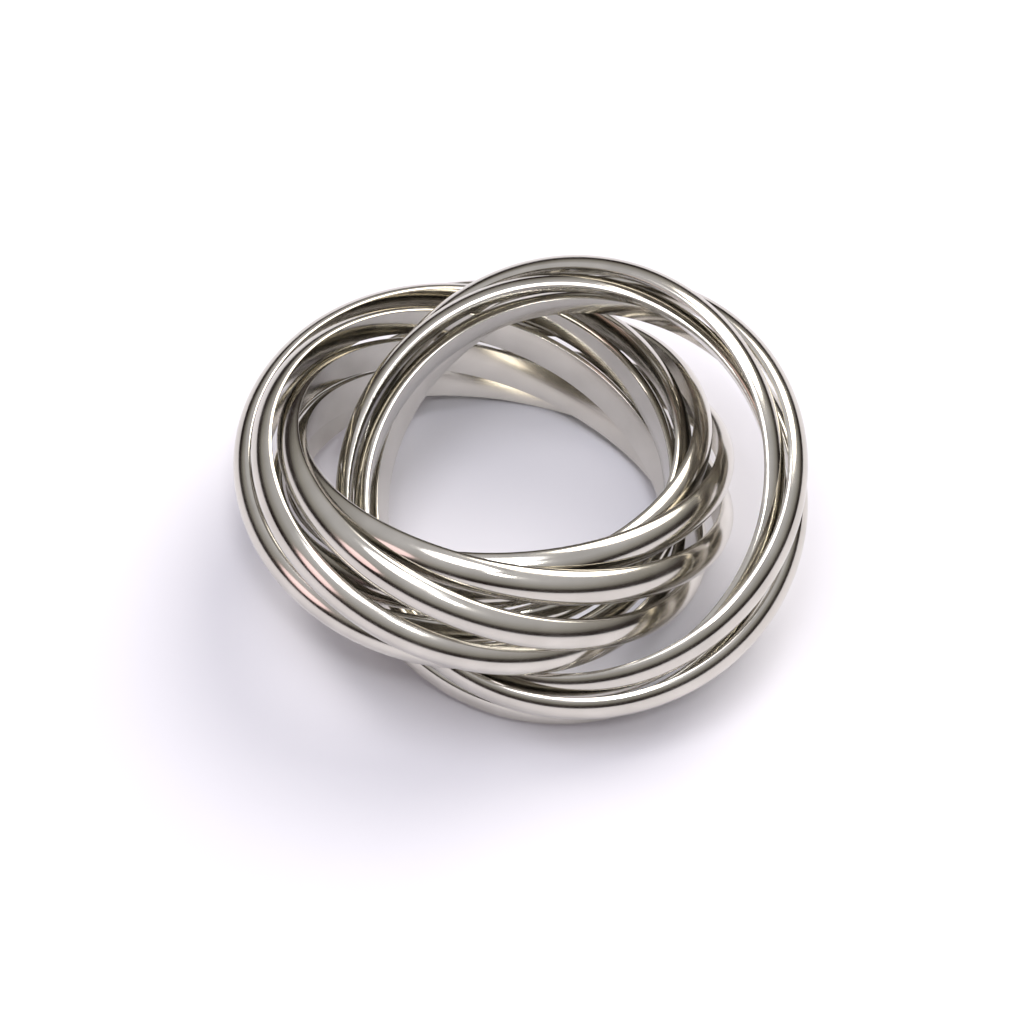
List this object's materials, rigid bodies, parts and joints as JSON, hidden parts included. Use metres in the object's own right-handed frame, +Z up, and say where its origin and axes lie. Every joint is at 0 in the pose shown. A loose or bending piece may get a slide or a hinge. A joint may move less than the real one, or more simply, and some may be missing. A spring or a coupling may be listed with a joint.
{
  "type": "metal ring disentanglement puzzle",
  "caption": "Interlocked rolling ring puzzle: equal thin domed steel bands, each linked through all the others and lying splayed open in two crossed sheaves.",
  "frame": {"origin": "on the table under the middle of the splayed bands' bounding box", "axes": "+Z up from the table, +X to the right across the two sheaves, +Y away from the front"},
  "size_m": [0.0278, 0.0244, 0.0125],
  "materials": {
    "polished_steel": "mirror-polished bare steel"
  },
  "bodies": {
    "right_loop_front_band": {"right_loop_front_band": "polished_steel"},
    "right_loop_outer_band": {"right_loop_outer_band": "polished_steel"},
    "right_loop_rear_band": {"right_loop_rear_band": "polished_steel"},
    "right_loop_middle_band": {"right_loop_middle_band": "polished_steel"},
    "left_loop_upper_band": {"left_loop_upper_band": "polished_steel"},
    "shoulder_bottom_band": {"shoulder_bottom_band": "polished_steel"},
    "shoulder_middle_band": {"shoulder_middle_band": "polished_steel"},
    "shoulder_top_band": {"shoulder_top_band": "polished_steel"},
    "left_loop_outer_band": {"left_loop_outer_band": "polished_steel"},
    "left_loop_second_band": {"left_loop_second_band": "polished_steel"},
    "left_loop_lower_band": {"left_loop_lower_band": "polished_steel"}
  },
  "joints": [
    {"name": "right_front_turn", "type": "hinge", "parent": "left_loop_upper_band", "child": "right_loop_front_band", "pos_m": [0.00291, -0.00156, 0.00594], "axis": [-0.0263, -0.2548, 0.9666], "continuous": true},
    {"name": "right_outer_turn", "type": "hinge", "parent": "left_loop_upper_band", "child": "right_loop_outer_band", "pos_m": [0.0031, -0.00064, 0.00632], "axis": [-0.2638, -0.1965, 0.9443], "continuous": true},
    {"name": "right_rear_turn", "type": "hinge", "parent": "left_loop_upper_band", "child": "right_loop_rear_band", "pos_m": [0.00212, -0.0004, 0.00623], "axis": [-0.31, -0.4198, 0.853], "continuous": true},
    {"name": "right_middle_turn", "type": "hinge", "parent": "left_loop_upper_band", "child": "right_loop_middle_band", "pos_m": [0.00193, -0.00132, 0.00585], "axis": [-0.0725, -0.478, 0.8754], "continuous": true},
    {"name": "shoulder_bottom_turn", "type": "hinge", "parent": "left_loop_upper_band", "child": "shoulder_bottom_band", "pos_m": [-0.00054, 0.00093, 0.00561], "axis": [-0.0469, 0.4346, 0.8994], "continuous": true},
    {"name": "shoulder_middle_turn", "type": "hinge", "parent": "left_loop_upper_band", "child": "shoulder_middle_band", "pos_m": [-0.0015, 0.00156, 0.00556], "axis": [-0.1682, 0.2533, 0.9527], "continuous": true},
    {"name": "shoulder_top_turn", "type": "hinge", "parent": "left_loop_upper_band", "child": "shoulder_top_band", "pos_m": [-0.00258, 0.00122, 0.00573], "axis": [-0.097, 0.0444, 0.9943], "continuous": true},
    {"name": "left_outer_turn", "type": "hinge", "parent": "left_loop_upper_band", "child": "left_loop_outer_band", "pos_m": [-0.00297, 0.00018, 0.00601], "axis": [0.1132, -0.0348, 0.993], "continuous": true},
    {"name": "left_second_turn", "type": "hinge", "parent": "left_loop_upper_band", "child": "left_loop_second_band", "pos_m": [-0.00238, -0.00078, 0.00618], "axis": [0.3041, 0.0754, 0.9497], "continuous": true},
    {"name": "left_lower_turn", "type": "hinge", "parent": "left_loop_upper_band", "child": "left_loop_lower_band", "pos_m": [-0.00124, -0.00094, 0.00611], "axis": [0.3319, 0.292, 0.897], "continuous": true}
  ]
}
